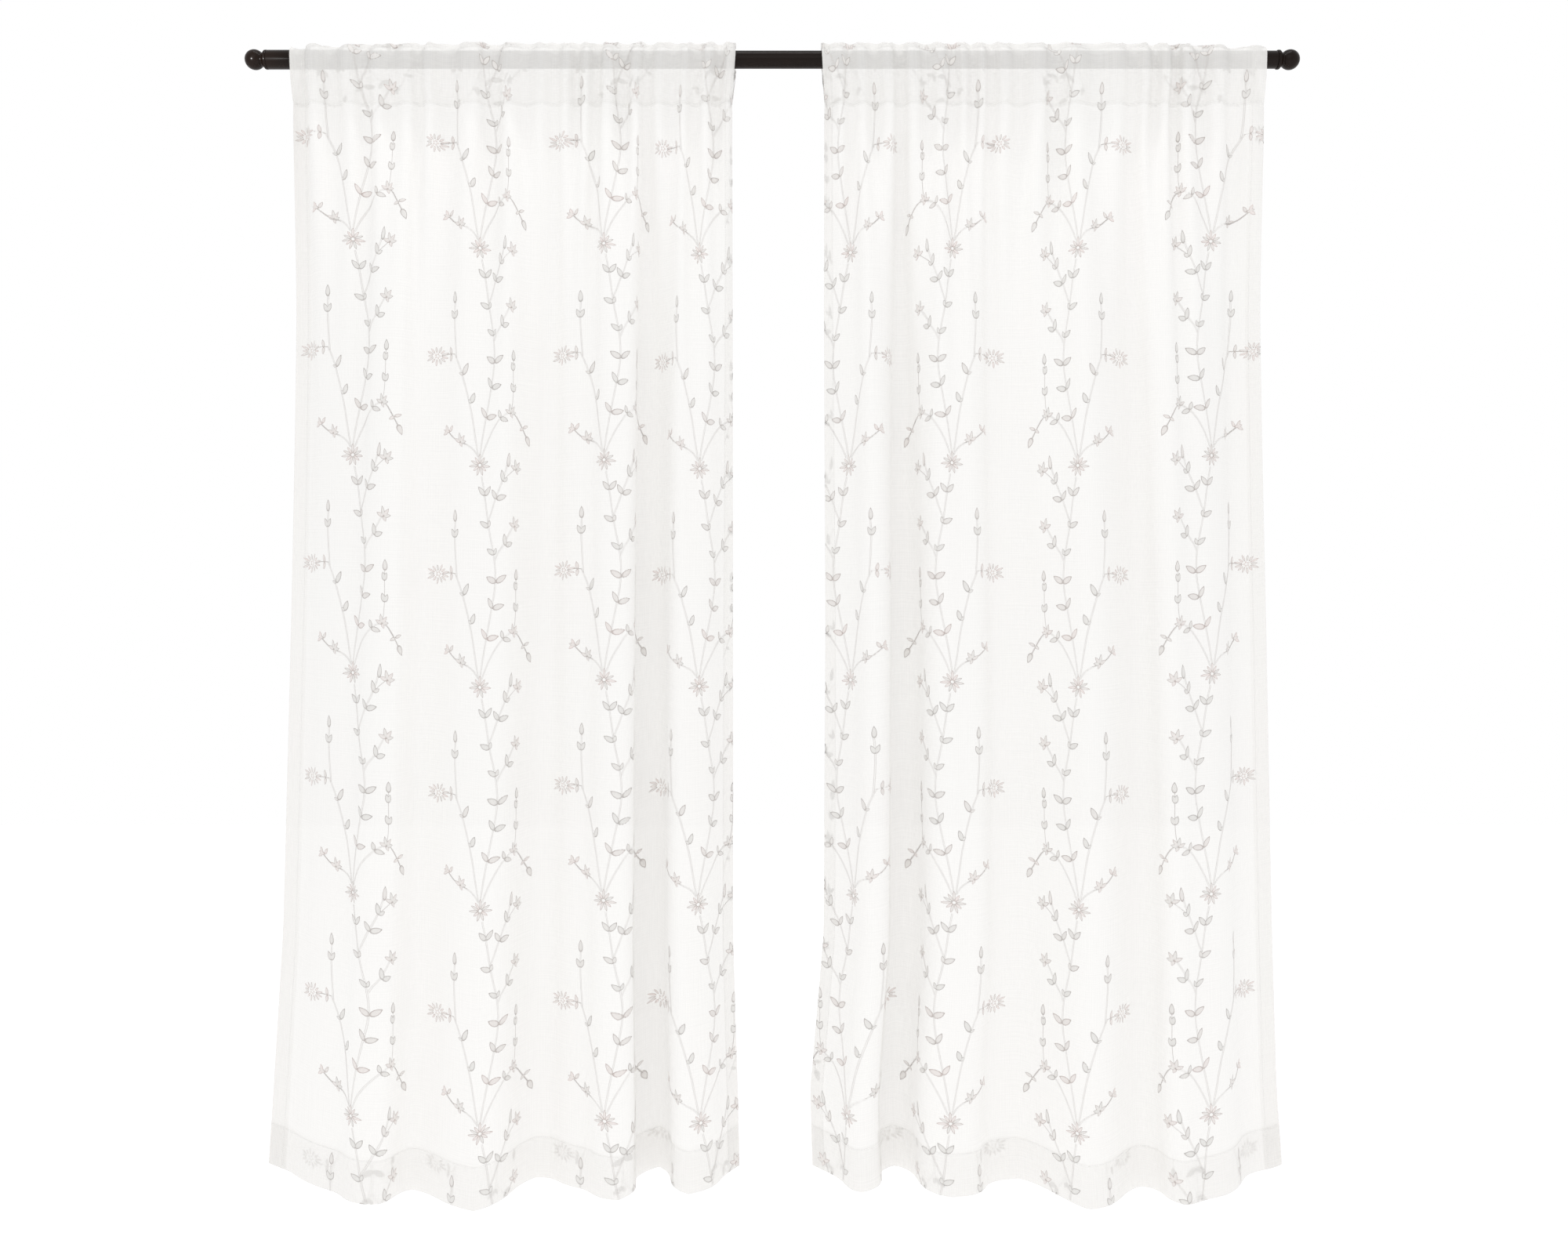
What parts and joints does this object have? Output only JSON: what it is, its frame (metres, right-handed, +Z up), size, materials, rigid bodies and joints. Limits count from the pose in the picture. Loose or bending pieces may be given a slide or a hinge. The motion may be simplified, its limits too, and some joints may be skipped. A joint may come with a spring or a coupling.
{
  "type": "sheer voile curtain pair on a rod",
  "caption": "Pair of white sheer voile rod-pocket curtain panels with an embroidered vine pattern, gathered on a dark telescoping rod with ball finials.",
  "frame": {"origin": "on the rod's axis, at the middle of the rod's length without its finials", "axes": "+X along the rod towards the viewer's right, +Z up, and the panels' faces look along -Y"},
  "size_m": [1.923, 0.1424, 2.1101],
  "materials": {
    "voile": "sheer plain-weave voile with tone-on-tone embroidery",
    "rod_paint": "satin dark bronze"
  },
  "bodies": {
    "root": {"panel_left": "voile", "panel_right": "voile", "rod_wide": "rod_paint", "rod_narrow": "rod_paint", "finial_left": "rod_paint", "finial_right": "rod_paint"}
  },
  "joints": []
}
